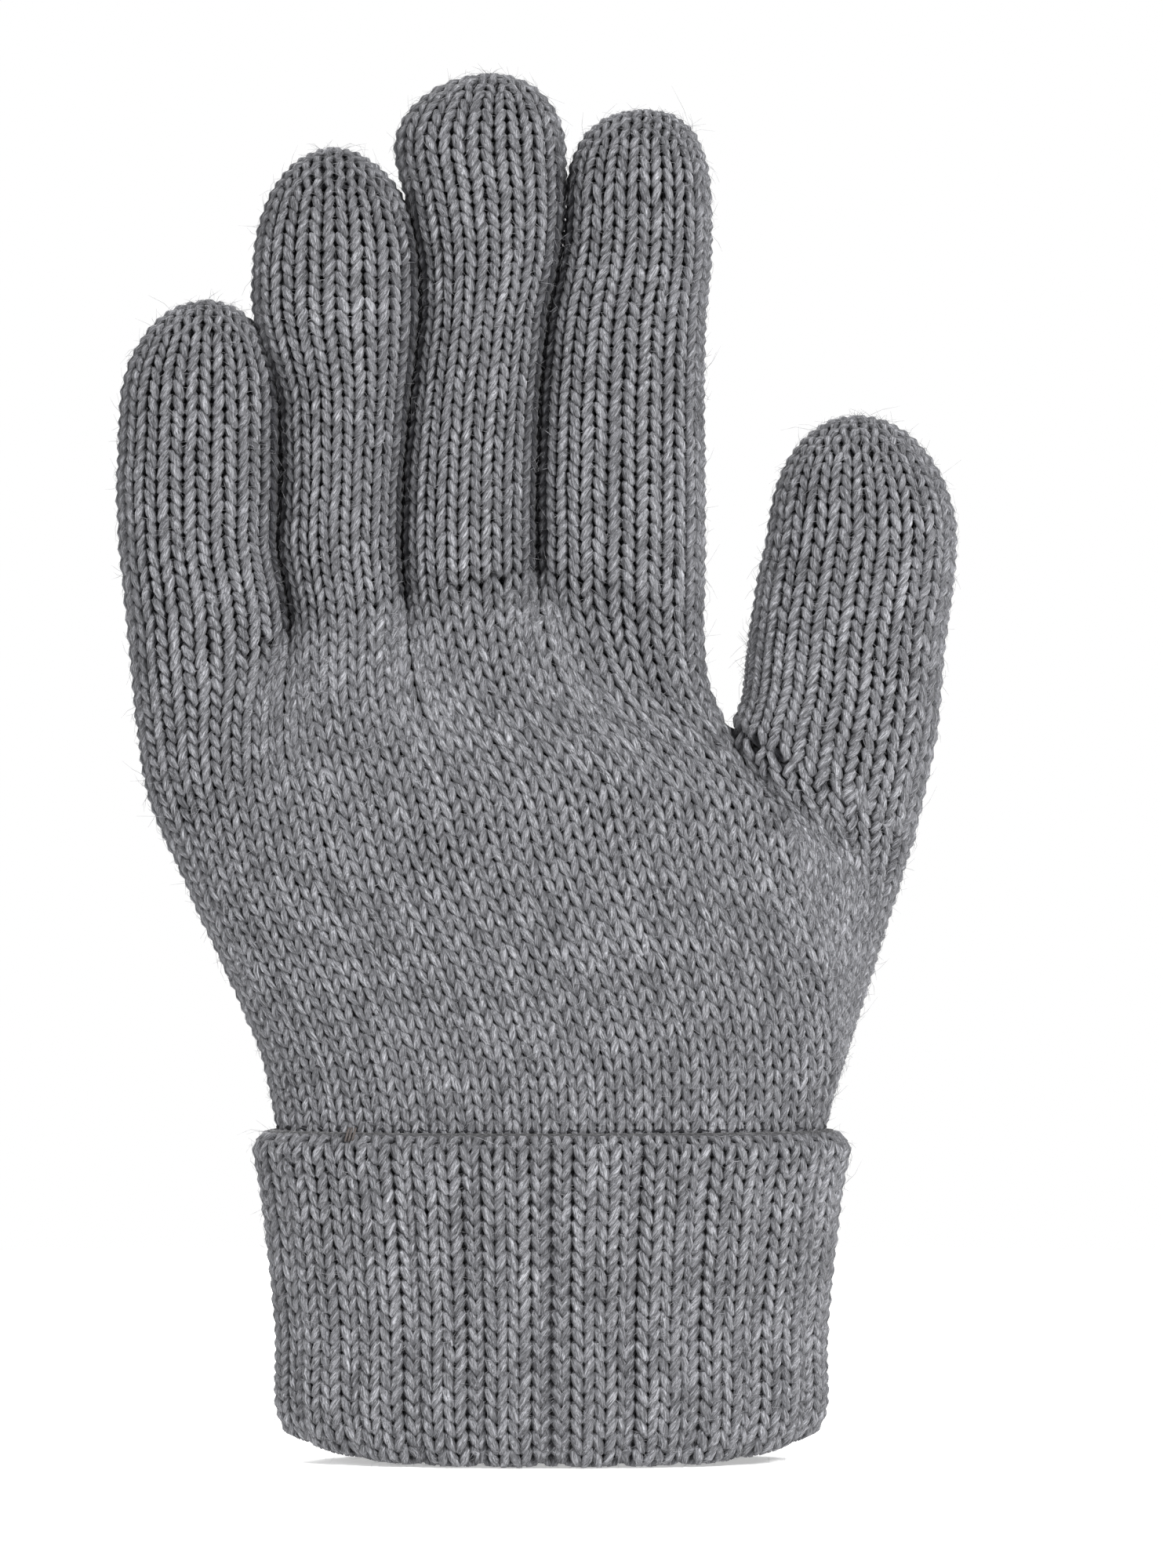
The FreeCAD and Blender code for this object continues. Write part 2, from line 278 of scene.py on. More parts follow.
def oval_section(share, z, side):
    """The hand's front at height z as x and depth, from the little finger's side to the other."""
    low = along(LITTLE_SIDE, z) + PROUD
    high = along(side, z) - PROUD
    depth = along(HAND_DEPTH, z) - PROUD
    angle = even_angles(PALM_OVAL)(share)
    return (low + high) / 2 - (high - low) / 2 * np.cos(angle), depth * np.sin(angle)


def digit_section(digit, share, z):
    """A digit's front at height z as x and depth, across its width."""
    angle = even_angles(DIGIT_OVAL)(share)
    x = along(digit["outline"], z) - (along(digit["outline"], z, 2) - PROUD) * np.cos(angle)
    return x, (digit["depth"] - PROUD) * np.sin(angle)


def half_round(z):
    """About half the way round the hand at height z."""
    return 0.5 * FULL_TURN * np.sqrt((along(THUMB_SIDE, z) ** 2 + MEAN_HALF_DEPTH ** 2) / 2)


def mix(first, second, share):
    """Pairs of values, moved by a share from the first to the second."""
    return [a + (b - a) * share for a, b in zip(first, second)]


def hand_tables():
    """Points over the front of the hand and of the gusset, and how many per wale and course."""
    per_wale = 6
    per_course = 2
    u = np.linspace(0, PALM_WALES, PALM_WALES * per_wale + 1)[None, :]
    v = np.linspace(-1, HAND_COURSES + 1, (HAND_COURSES + 2) * per_course + 1)[:, None]
    gusset_u = np.linspace(0, GUSSET_WALES, GUSSET_WALES * per_wale + 1)[None, :]
    web = ease((v - THUMB_COURSE + THUMB_WEB_COURSES) / THUMB_WEB_COURSES)
    widening = ease(v / GUSSET_FULL_COURSE * GUSSET_REACH) ** GUSSET_CURVE
    gusset = GUSSET_WIDTH * widening

    top = along(FINGER_LINE, u, softness=1.0)
    z = HAND_START + (top - HAND_START) * v / HAND_COURSES
    gusset_share = gusset / half_round(z)
    wide = oval_section(u / PALM_WALES * (1 - gusset_share), z, THUMB_SIDE)
    palm = oval_section(u / PALM_WALES, z, INDEX_SIDE)
    flat = mix(wide, palm, web)
    fingers = [np.zeros_like(z), np.zeros_like(z)]
    finger_wales = PALM_WALES // 4
    for rank, name in enumerate(("little", "ring", "middle", "index")):
        digit = DIGITS[name]
        start = rank * finger_wales
        inside = (u >= start) & (u <= start + finger_wales)
        share = np.clip((u - start) / finger_wales, 0, 1)
        section = digit_section(digit, share, z)
        for total, value in zip(fingers, section):
            total[:] = np.where(inside, value, total)
    spread = ease((v - HAND_COURSES + FINGER_WEB_COURSES) / FINGER_WEB_COURSES)
    valley = ease((z - top + WEB_HEIGHT) / WEB_HEIGHT) ** WEB_CURVE
    x = flat[0] + (fingers[0] - flat[0]) * spread
    depth = flat[1] + (fingers[1] - flat[1]) * valley
    front = stack(x, -depth, z)

    thumb = DIGITS["thumb"]
    gusset_top = along(THUMB_LINE, gusset_u, softness=1.0)
    gusset_z = HAND_START + (gusset_top - HAND_START) * v / THUMB_COURSE
    share = 1 - gusset / half_round(gusset_z) * (1 - gusset_u / GUSSET_WALES)
    wide = oval_section(share, gusset_z, THUMB_SIDE)
    section = digit_section(thumb, gusset_u / GUSSET_WALES, gusset_z)
    mixed = mix(wide, section, web)
    side = stack(mixed[0], -mixed[1], gusset_z)
    return front, side, per_wale, per_course


def read_table(table, column, row):
    """Values between a table's points, at whole or part columns and rows."""
    column = np.clip(column, 0, table.shape[1] - 1.001)
    row = np.clip(row, 0, table.shape[0] - 1.001)
    i, j = row.astype(int), column.astype(int)
    s, t = (row - i)[..., None], (column - j)[..., None]
    low = table[i, j] * (1 - t) + table[i, j + 1] * t
    high = table[i + 1, j] * (1 - t) + table[i + 1, j + 1] * t
    return low * (1 - s) + high * s


def hand_surfaces():
    """Two surfaces: with the gusset for the thumb between front and back, and without it."""
    front, side, per_wale, per_course = hand_tables()

    def folded(u, v, half):
        """Fold the back onto the front: u on the front, the table's row, and where the back is."""
        u, v = np.broadcast_arrays(np.asarray(u, float), np.asarray(v, float))
        u = np.mod(u, 2 * half)
        at_back = u > half
        return np.where(at_back, 2 * half - u, u), (v + 1) * per_course, at_back

    def unfolded(point, at_back):
        point[..., 1] = np.where(at_back, -point[..., 1], point[..., 1])
        return point

    def with_gusset(u, v):
        u, row, at_back = folded(u, v, PALM_WALES + GUSSET_WALES)
        palm = read_table(front, u * per_wale, row)
        gusset = read_table(side, (u - PALM_WALES) * per_wale, row)
        return unfolded(np.where((u > PALM_WALES)[..., None], gusset, palm), at_back)

    def without_gusset(u, v):
        u, row, at_back = folded(u, v, PALM_WALES)
        return unfolded(read_table(front, u * per_wale, row), at_back)

    return with_gusset, without_gusset


def cuff_surface():
    """The cuff's surface, its count of courses, and the count down to its fold.

    v runs down the outside from the turned-up edge, then up the inside.
    """
    corners = np.array(CUFF_PATH, float)
    steps = np.hypot(*np.diff(corners, axis=0).T)
    walked = np.concatenate([[0], np.cumsum(steps)])
    table = np.column_stack([walked, corners])
    angle_at = even_angles(CUFF_OVAL)

    def surface(u, v):
        u, v = np.broadcast_arrays(np.asarray(u, float), np.asarray(v, float))
        share = np.mod(u, CUFF_WALES) / (CUFF_WALES / 2)
        angle = np.where(share <= 1, angle_at(share), FULL_TURN - angle_at(2 - share))
        across = np.cos(angle)
        distance = v * CUFF_PITCH
        out = along(table, distance, 1, 0.8)
        z = along(table, distance, 2, 0.8)
        nearest = np.abs(np.mod(u, CUFF_WALES)[..., None] - RIB_GROOVES).min(axis=-1)
        groove = np.exp(-((nearest / RIB_GROOVE_WIDTH) ** 2))
        flank = ease((np.abs(across) - GROOVE_FADE_START) / GROOVE_FADE_WIDTH)
        fade = FLANK_GROOVE_SHARE + (1 - FLANK_GROOVE_SHARE) * (1 - flank)
        fade = fade * ease(distance / GROOVE_FADE_IN) * (out > CUFF_OUTSIDE)
        out = out - RIB_GROOVE_DEPTH * groove * fade
        low = 1 - ease(z / CUFF_RISE_HEIGHT)
        z = z + low * (CUFF_END_RISE * np.abs(across) ** 5 + CUFF_GROOVE_RISE * groove)
        half_width = along(CUFF_OUTLINE, z, 1) + out
        half_depth = along(CUFF_OUTLINE, z, 2) + out
        return stack(half_width * across, -half_depth * np.sin(angle), z)

    courses = walked[-1] / CUFF_PITCH
    fold_distance = walked[int(np.argmin(corners[:, 1]))]
    return surface, courses, fold_distance / CUFF_PITCH


def unit(vectors):
    """Vectors of length 1, where they have a length at all."""
    return vectors / np.maximum(np.linalg.norm(vectors, axis=-1, keepdims=True), 1e-9)


def outward(surface, u, v):
    """Unit normals of a surface."""
    step = 0.2
    du = surface(u + step, v) - surface(u - step, v)
    dv = surface(u, v + step) - surface(u, v - step)
    return unit(np.cross(du, dv))


# ---------------------------------------------------------------- yarn

# Each kind of knit: the points along a loop and the sides round its yarn; how uneven its loops are;
# how far a loop leans out sideways, as a share of a wale, and swings in and out; the radius of its
# yarn; and its loose fibres per loop. The digits' knits also have their most wales.
EVEN_LOOPS = {"points": 12, "sides": 6, "mess": 0.035}
PALM_KNIT = {**EVEN_LOOPS, "splay": 0.25, "swing": 0.60, "radius": 0.73, "fuzz": 11.0}
FINGER_KNIT = {**EVEN_LOOPS, "splay": 0.22, "swing": 0.68, "radius": 0.80, "fuzz": 11.0, "wales": 16}
THUMB_KNIT = {**EVEN_LOOPS, "splay": 0.23, "swing": 0.68, "radius": 0.84, "fuzz": 12.0, "wales": 20}
CUFF_KNIT = {**EVEN_LOOPS, "splay": 0.25, "swing": 0.62, "radius": 0.79, "fuzz": 12.0}
INSIDE_KNIT = {"points": 10, "sides": 4, "mess": 0.03, "splay": 0.27, "swing": 0.5, "radius": 0.84,
               "fuzz": 0.0}
# Loops are a little more uneven in height than sideways, and differ in how far they stand out.
UNEVEN_LIFT = 1.2
UNEVEN_SWING = 0.07

# How much the courses differ in tone, and the waves of tone and thickness along the yarn: how
# strong each is, and how many points apart.
COURSE_TONE = 0.04
SLOW_TONE = (0.12, 130)
QUICK_TONE = (0.35, 15)
THICKNESS_WAVE = (0.07, 9)

FIBRE_RADIUS = 0.028
FIBRE_LENGTH = 1.9
FIBRE_LENGTH_SHAPE = 3.0
FIBRE_TAPER = np.array([1.0, 0.85, 0.35])
FIBRE_SIDES = 3
# How much the fibres turn from the yarn, curve sideways, and rise as shares of their length.
FIBRE_TURN = 1.1
FIBRE_BEND = 0.36
FIBRE_RISE = (0.05, 0.55)
FIBRE_DROOP = 1.15
# Where a fibre leaves its yarn: out, sideways and overall, as shares of the yarn's radius.
FIBRE_ROOT_OUT = 0.75
FIBRE_ROOT_SIDE = 0.6
FIBRE_ROOT_SHARE = 0.95


# The two materials of a piece of yarn, by their places on its mesh.
YARN_FACES = 0
FIBRE_FACES = 1


class Strands:
    """Collects swept yarns into one mesh, with the attributes that the yarn's material reads."""

    def __init__(self):
        self.points = []
        self.faces = []
        self.kinds = []
        self.ply = []
        self.tone = []
        self.height = []
        self.total = 0

    def add_faces(self, faces, kind):
        self.faces.append(faces + self.total)
        self.kinds.append(np.full(len(faces), kind))

    def sweep(self, path, normal, radius, tone, height, sides):
        """Add a tube along a closed path. The normal fixes where the tube's sides lie.

        height is how far the path stands out from the middle of the knit, in millimetres. The yarn's
        material paints shade from it, and on digits it also carries the painted shade between fingers.
        """
        tangent = np.roll(path, -1, axis=0) - np.roll(path, 1, axis=0)
        step = np.linalg.norm(np.diff(path, axis=0, append=path[:1]), axis=1)
        length = np.concatenate([[0], np.cumsum(step)[:-1]])[:, None]
        reach, angle = tube_rings(tangent, normal, radius[:, None], sides)
        self.points.append((path[:, None, :] + reach).reshape(-1, 3))
        self.height.append((height[:, None] + (reach * normal[:, None, :]).sum(axis=-1)).ravel())
        turns = max(1, round(step.sum() / PLY_PITCH))
        phase = angle[None, :] - FULL_TURN * turns * length / step.sum()
        self.ply.append(stack(np.cos(phase), np.sin(phase), length + 0 * phase).reshape(-1, 3))
        self.tone.append(np.repeat(tone, sides))
        total = len(path) * sides
        index = np.arange(total).reshape(-1, sides)
        self.add_faces(ring_quads(index, np.roll(index, -1, axis=0)), YARN_FACES)
        self.total += total

    def add_hairs(self, curves, normal, taper, tone):
        """Add many thin tubes at once: curves holds the same number of points for each."""
        count, rings, _ = curves.shape
        tangent = np.gradient(curves, axis=1)
        reach, _ = tube_rings(tangent, normal[:, None, :], taper[None, :, None], FIBRE_SIDES)
        self.points.append((curves[:, :, None, :] + reach).reshape(-1, 3))
        total = count * rings * FIBRE_SIDES
        self.height.append(np.ones(total))
        self.ply.append(np.zeros((total, 3)))
        self.tone.append(np.repeat(tone, rings * FIBRE_SIDES))
        index = np.arange(total).reshape(count, rings, FIBRE_SIDES)
        self.add_faces(ring_quads(index[:, :-1], index[:, 1:]), FIBRE_FACES)
        self.add_faces(np.concatenate([index[:, 0, ::-1], index[:, -1]]), FIBRE_FACES)
        self.total += total

    def build(self, name, materials):
        sizes = np.concatenate([np.full(len(faces), faces.shape[1]) for faces in self.faces])
        corners = np.concatenate([faces.ravel() for faces in self.faces])
        mesh = mesh_from(name, np.concatenate(self.points), corners, sizes)
        attribute = mesh.attributes.new("ply", "FLOAT_VECTOR", "POINT")
        attribute.data.foreach_set("vector", np.concatenate(self.ply).astype(np.float32).ravel())
        for label, values in (("tone", self.tone), ("height", self.height)):
            attribute = mesh.attributes.new(label, "FLOAT", "POINT")
            attribute.data.foreach_set("value", np.concatenate(values).astype(np.float32))
        for material in materials:
            mesh.materials.append(material)
        mesh.polygons.foreach_set("material_index", np.concatenate(self.kinds).astype(np.int32))
        return add_object(name, mesh)


def tube_rings(tangent, normal, radius, sides):
    """How far each point of a tube's rings lies from the path, and the angles of its sides."""
    tangent = unit(tangent)
    side = unit(np.cross(normal, tangent))
    up = np.cross(tangent, side)
    angle = np.arange(sides) * FULL_TURN / sides
    ring = side[..., None, :] * np.cos(angle)[:, None] + up[..., None, :] * np.sin(angle)[:, None]
    return ring * radius[..., None], angle


def ring_quads(rings, after):
    """Faces between each ring of point numbers and the ring after it."""
    corners = [rings, np.roll(rings, -1, axis=-1), np.roll(after, -1, axis=-1), after]
    return np.stack(corners, axis=-1).reshape(-1, 4)


def mesh_from(name, points_mm, corners, sizes):
    mesh = bpy.data.meshes.new(name)
    mesh.vertices.add(len(points_mm))
    mesh.vertices.foreach_set("co", (points_mm * MM).astype(np.float32).ravel())
    mesh.loops.add(len(corners))
    mesh.loops.foreach_set("vertex_index", corners.astype(np.int32))
    mesh.polygons.add(len(sizes))
    starts = np.concatenate([[0], np.cumsum(sizes)[:-1]])
    mesh.polygons.foreach_set("loop_start", starts.astype(np.int32))
    mesh.polygons.foreach_set("use_smooth", np.ones(len(sizes), bool))
    mesh.update(calc_edges=True)
    mesh.validate()
    return mesh


def add_object(name, mesh):
    piece = bpy.data.objects.new(name, mesh)
    bpy.context.scene.collection.objects.link(piece)
    return piece


def wandering(count, spacing):
    """A smooth random curve that closes on itself, about -1 to 1."""
    knots = max(3, round(count / spacing))
    values = random.uniform(-1, 1, knots)
    place = np.arange(count) / count * knots
    i = place.astype(int)
    t = ease(place - i)
    return values[i % knots] * (1 - t) + values[(i + 1) % knots] * t


def course_of_loops(surface, v, starts, ends, wales, knit):
    """One course's path: loops that rise from v to meet the course above, with their normals.

    starts and ends give the stretch of u that the loops share out evenly.
    """
    samples = knit["points"]
    t = np.tile(np.arange(samples) / samples, wales) * FULL_TURN
    stitch = np.repeat(np.arange(wales), samples)
    bulge = np.sin(t / 2) ** 2
    lean = random.normal(0, knit["mess"], wales)[stitch] * bulge
    lift = random.normal(0, knit["mess"] * UNEVEN_LIFT, wales)[stitch] * bulge
    x = t / FULL_TURN + knit["splay"] * np.sin(2 * t) + lean
    u = starts + (stitch + x) * (ends - starts) / wales
    height = v - LOOP_HEIGHT * np.cos(t) + lift
    normal = outward(surface, u, height)
    out = -knit["swing"] * np.cos(2 * t) + random.normal(0, UNEVEN_SWING, wales)[stitch] * bulge
    return surface(u, height) + normal * out[:, None], normal, out


def finger_gap_shade(path, digit):
    """How much painted shade the yarn on a digit's flanks gets beside its neighbours, 0 to 1."""
    x, z = path[:, 0], path[:, 2]
    across = (x - along(digit["outline"], z)) / along(digit["outline"], z, 2)
    total = 0
    for side, top in digit["neighbours"]:
        flank = ease((side * across - SHADE_FLANK_START) / SHADE_FLANK_WIDTH)
        total = total + flank * (1 - ease((z - top + SHADE_FLANK_FADE) / SHADE_FLANK_FADE))
    return total


def add_course(strands, pieces, knit, digit=None):
    """Sweep one closed course made of one or more stretches of loops."""
    path, normal, out = (np.concatenate(values) for values in zip(*pieces))
    count = len(path)

    def wave(strength, spacing):
        return strength * wandering(count, spacing)

    tone = random.normal(0, COURSE_TONE) + wave(*SLOW_TONE) + wave(*QUICK_TONE)
    radius = knit["radius"] * (1 + wave(*THICKNESS_WAVE) + LEG_SWELL * out / knit["swing"])
    # On digits, the painted shade between fingers is laid into the height that the yarn's material
    # darkens by.
    height = out if digit is None else out - FINGER_GAP_SHADE_DEPTH * finger_gap_shade(path, digit)
    strands.sweep(path, normal, radius, tone, height, knit["sides"])
    add_fibres(strands, path, normal, tone, knit)


def add_fibres(strands, path, normal, tone, knit):
    """Loose fibres that stand off the yarn, each a thin tapered tube with closed ends."""
    count = int(len(path) / knit["points"] * knit["fuzz"])
    if count < 1:
        return
    root = random.integers(0, len(path) - 1, count)
    out = normal[root]
    forward = unit(path[(root + 1) % len(path)] - path[root - 1])
    side = np.cross(out, forward)
    turn = random.normal(0, FIBRE_TURN, (count, 1))
    heading = forward * np.cos(turn) + side * np.sin(turn)
    aside = random.uniform(-FIBRE_ROOT_SIDE, FIBRE_ROOT_SIDE, (count, 1))
    start = path[root] + (out * FIBRE_ROOT_OUT + side * aside) * knit["radius"] * FIBRE_ROOT_SHARE
    length = random.gamma(FIBRE_LENGTH_SHAPE, FIBRE_LENGTH / FIBRE_LENGTH_SHAPE, (count, 1))
    rise = out * random.uniform(*FIBRE_RISE, (count, 1))
    bend = side * random.normal(0, FIBRE_BEND, (count, 1))
    curves = np.stack([
        start + (heading * step + rise * step * (FIBRE_DROOP - step) + bend * step ** 2) * length
        for step in np.linspace(0, 1, len(FIBRE_TAPER))
    ], axis=1)
    # The small part of the heading keeps the tube's sides defined where a fibre stands straight out.
    strands.add_hairs(curves, out + heading * 0.01, FIBRE_RADIUS * FIBRE_TAPER, tone[root])


# ---------------------------------------------------------------- materials

def new_material(name):
    material = bpy.data.materials.new(name)
    material.use_nodes = True
    nodes = material.node_tree.nodes
    return material, nodes, material.node_tree.links, nodes["Principled BSDF"]


def math_node(nodes, links, operation, *values):
    node = nodes.new("ShaderNodeMath")
    node.operation = operation
    for i, value in enumerate(values):
        if isinstance(value, (int, float)):
            node.inputs[i].default_value = value
        else:
            links.new(value, node.inputs[i])
    return node.outputs[0]


def read_attribute(nodes, name, output="Fac"):
    node = nodes.new("ShaderNodeAttribute")
    node.attribute_name = name
    return node.outputs[output]


def noise_node(nodes, links, place, scale, **settings):
    node = nodes.new("ShaderNodeTexNoise")
    node.inputs["Scale"].default_value = scale
    for label, value in settings.items():
        node.inputs[label].default_value = value
    links.new(place, node.inputs["Vector"])
    return node.outputs["Fac"]


def colour_ramp(nodes, links, level, *stops):
    """Colours along a level. Each stop is its place, a share and the colour to multiply by it."""
    node = nodes.new("ShaderNodeValToRGB")
    elements = node.color_ramp.elements
    stops = [(place, tuple(share * c for c in colour) + (1,)) for place, share, colour in stops]
    for element, (place, colour) in ((elements[0], stops[0]), (elements[1], stops[-1])):
        element.position = place
        element.color = colour
    for place, colour in stops[1:-1]:
        elements.new(place).color = colour
    links.new(level, node.inputs[0])
    return node.outputs[0]


def darken(nodes, links, colour, share, tint):
    """Multiply a colour by a tint, by a varying share."""
    node = nodes.new("ShaderNodeMix")
    node.data_type = "RGBA"
    node.blend_type = "MULTIPLY"
    node.inputs["B"].default_value = tint + (1,)
    links.new(colour, node.inputs["A"])
    links.new(share, node.inputs["Factor"])
    return node.outputs["Result"]


def add_bump(nodes, links, shader, height, distance_mm, strength=1.0):
    node = nodes.new("ShaderNodeBump")
    node.inputs["Strength"].default_value = strength
    node.inputs["Distance"].default_value = distance_mm * MM
    links.new(height, node.inputs["Height"])
    links.new(node.outputs[0], shader.inputs["Normal"])


# The yarn's colour from its darkest to its lightest fibres, as shares of YARN_COLOUR.
YARN_STOPS = ((0.32, 0.22), (0.5, 1.0), (0.70, 3.1))
# The scale of the fibres' noise: twice across the twisted plies, then along them.
FIBRE_STRETCH = (3.2, 3.2, 0.8)
# How far a change of tone shifts that noise, and how much tone and patches add to it.
TONE_SHIFT = 9.0
TONE_SHARE = 0.07
PATCH_SHARE = 0.06
# What the yarn's colour is multiplied by as painted shade: between its plies, and deep in the knit.
PLY_GROOVE_SHADE_TINT = (0.6, 0.6, 0.61)
DEEP_SHADE_TINT = (0.10, 0.10, 0.11)


def yarn_material(name, colour):
    """Two-ply wool: twisted plies, streaky fibres of mixed grey and slow changes of tone, with painted
    shade between the plies and deep in the knit.
    """
    material, nodes, links, shader = new_material(name)
    ply = read_attribute(nodes, "ply", "Vector")
    tone = read_attribute(nodes, "tone")
    split = nodes.new("ShaderNodeSeparateXYZ")
    links.new(ply, split.inputs[0])
    stretch = nodes.new("ShaderNodeVectorMath")
    stretch.operation = "MULTIPLY"
    stretch.inputs[1].default_value = FIBRE_STRETCH
    links.new(ply, stretch.inputs[0])
    shift = nodes.new("ShaderNodeVectorMath")
    shift.operation = "ADD"
    links.new(stretch.outputs[0], shift.inputs[0])
    links.new(math_node(nodes, links, "MULTIPLY", tone, TONE_SHIFT), shift.inputs[1])
    streak = noise_node(nodes, links, shift.outputs[0], 1.0, Detail=4.0, Roughness=0.7, Distortion=1.0)
    ridge = math_node(nodes, links, "ABSOLUTE", split.outputs["X"])
    ridge = math_node(nodes, links, "POWER", ridge, 0.6)

    place = nodes.new("ShaderNodeTexCoord").outputs["Object"]
    patch = noise_node(nodes, links, place, 75.0, Detail=2.0)
    level = math_node(nodes, links, "MULTIPLY_ADD", tone, TONE_SHARE, streak)
    level = math_node(nodes, links, "MULTIPLY_ADD", patch, PATCH_SHARE, level)
    level = math_node(nodes, links, "SUBTRACT", level, PATCH_SHARE / 2)
    wool_colour = colour_ramp(nodes, links, level, *((*stop, colour) for stop in YARN_STOPS))
    # Painted shade in the grooves between the plies.
    ply_groove_shade = math_node(nodes, links, "SUBTRACT", 1.0, ridge)
    wool_colour = darken(nodes, links, wool_colour, ply_groove_shade, PLY_GROOVE_SHADE_TINT)
    # Painted shade deep in the knit: the less the yarn stands out, by its height attribute, the darker
    # it is made.
    depth = nodes.new("ShaderNodeMapRange")
    depth.interpolation_type = "SMOOTHSTEP"
    depth.inputs["From Min"].default_value = FULL_SHADE_HEIGHT
    depth.inputs["From Max"].default_value = UNSHADED_HEIGHT
    depth.inputs["To Min"].default_value = 1.0
    depth.inputs["To Max"].default_value = 0.0
    links.new(read_attribute(nodes, "height"), depth.inputs["Value"])
    wool_colour = darken(nodes, links, wool_colour, depth.outputs[0], DEEP_SHADE_TINT)
    links.new(wool_colour, shader.inputs["Base Color"])

    relief = math_node(nodes, links, "MULTIPLY_ADD", streak, 1.4, ridge)
    add_bump(nodes, links, shader, relief, 0.09, strength=0.9)
    rough = math_node(nodes, links, "MULTIPLY_ADD", streak, 0.15, 0.78)
    links.new(rough, shader.inputs["Roughness"])
    shader.inputs["Specular IOR Level"].default_value = 0.2
    shader.inputs["Sheen Weight"].default_value = 0.08
    shader.inputs["Sheen Roughness"].default_value = 0.5
    return material


def fibre_material():
    """The fine loose fibres."""
    material, nodes, links, shader = new_material("loose_fibre")
    place = nodes.new("ShaderNodeTexCoord").outputs["Object"]
    noise = noise_node(nodes, links, place, 900.0)
    level = math_node(nodes, links, "MULTIPLY_ADD", read_attribute(nodes, "tone"), 0.05, noise)
    colour = colour_ramp(nodes, links, level, (0.38, 1.0, (0.05, 0.05, 0.053)),
                         (0.62, 1.0, (0.36, 0.36, 0.38)))
    links.new(colour, shader.inputs["Base Color"])
    add_bump(nodes, links, shader, noise, 0.02)
    shader.inputs["Roughness"].default_value = 0.7
    shader.inputs["Specular IOR Level"].default_value = 0.25
    return material


def lining_shade_material():
    """The back of the knit, seen between the loops: the bars of its purl side, in a dark colour that
    is painted shade of the glove's inside.
    """
    material, nodes, links, shader = new_material("knit_lining_painted_shade")
    place = read_attribute(nodes, "knit_place", "Vector")
    wave = nodes.new("ShaderNodeTexWave")
    wave.wave_type = "BANDS"
    wave.bands_direction = "Y"
    wave.inputs["Scale"].default_value = 0.32
    wave.inputs["Distortion"].default_value = 1.5
    wave.inputs["Detail"].default_value = 2.0
    links.new(place, wave.inputs["Vector"])
    noise = noise_node(nodes, links, place, 6.0, Detail=3.0)
    level = math_node(nodes, links, "MULTIPLY_ADD", wave.outputs["Fac"], 0.5, noise)
    colour = colour_ramp(nodes, links, level, (0.3, 0.5, LINING_SHADE_COLOUR), (1.0, 2.2, LINING_SHADE_COLOUR))
    links.new(colour, shader.inputs["Base Color"])
    add_bump(nodes, links, shader, level, 0.5)
    shader.inputs["Roughness"].default_value = 0.92
    shader.inputs["Sheen Weight"].default_value = 0.2
    return material


def tack_material():
    """Brownish thread."""
    material, nodes, links, shader = new_material("tack_thread")
    place = nodes.new("ShaderNodeTexCoord").outputs["Object"]
    noise = noise_node(nodes, links, place, 2500.0)
    colour = colour_ramp(nodes, links, noise, (0.0, 1.0, (0.03, 0.026, 0.024)),
                         (1.0, 1.0, (0.085, 0.07, 0.065)))
    links.new(colour, shader.inputs["Base Color"])
    add_bump(nodes, links, shader, noise, 0.1)
    shader.inputs["Roughness"].default_value = 0.7
    return material


# ---------------------------------------------------------------- the lining

# Points of the lining per wale and per course.
LINING_STEPS = 2


def lining_shell(name, surface, wales, first, last, tip=False):
    """A thin closed shell under the loops of the courses first to last. tip closes its top."""
    columns = int(round(wales * LINING_STEPS))
    rows = max(3, int(round((last - first) * LINING_STEPS)) + 1)
    u = np.linspace(0, wales, columns, endpoint=False)[None, :]
    v = np.linspace(first, last, rows)[:, None]
    u, v = np.broadcast_arrays(u, v)
    middle, normal = surface(u, v), outward(surface, u, v)
    outer = middle - normal * LINING_DEPTH
    inner = middle - normal * (LINING_DEPTH + LINING_THICKNESS)
    layer = rows * columns
    index = np.arange(layer).reshape(rows, columns)
    quads = ring_quads(index[:-1], index[1:])
    faces = [quads, quads[:, ::-1] + layer, ring_quads(index[0], index[0] + layer)[:, ::-1]]
    tops = []
    if tip:
        tops = [index[-1], index[-1][::-1] + layer]
    else:
        faces.append(ring_quads(index[-1], index[-1] + layer))
    quads = np.concatenate(faces)
    sizes = np.concatenate([np.full(len(quads), 4), [len(top) for top in tops]]).astype(int)
    corners = np.concatenate([quads.ravel()] + tops)
    points = np.concatenate([outer.reshape(-1, 3), inner.reshape(-1, 3)])
    mesh = mesh_from(name, points, corners, sizes)
    attribute = mesh.attributes.new("knit_place", "FLOAT_VECTOR", "POINT")
    place = stack(u, v, 0 * u).reshape(-1, 3)
    attribute.data.foreach_set("vector", np.concatenate([place, place]).astype(np.float32).ravel())
    mesh.materials.append(LINING_SHADE_LOOK)
    return add_object(name, mesh)


# ---------------------------------------------------------------- the pieces

YARN_LOOK = [yarn_material("grey_wool", YARN_COLOUR), fibre_material()]
LINING_SHADE_LOOK = lining_shade_material()


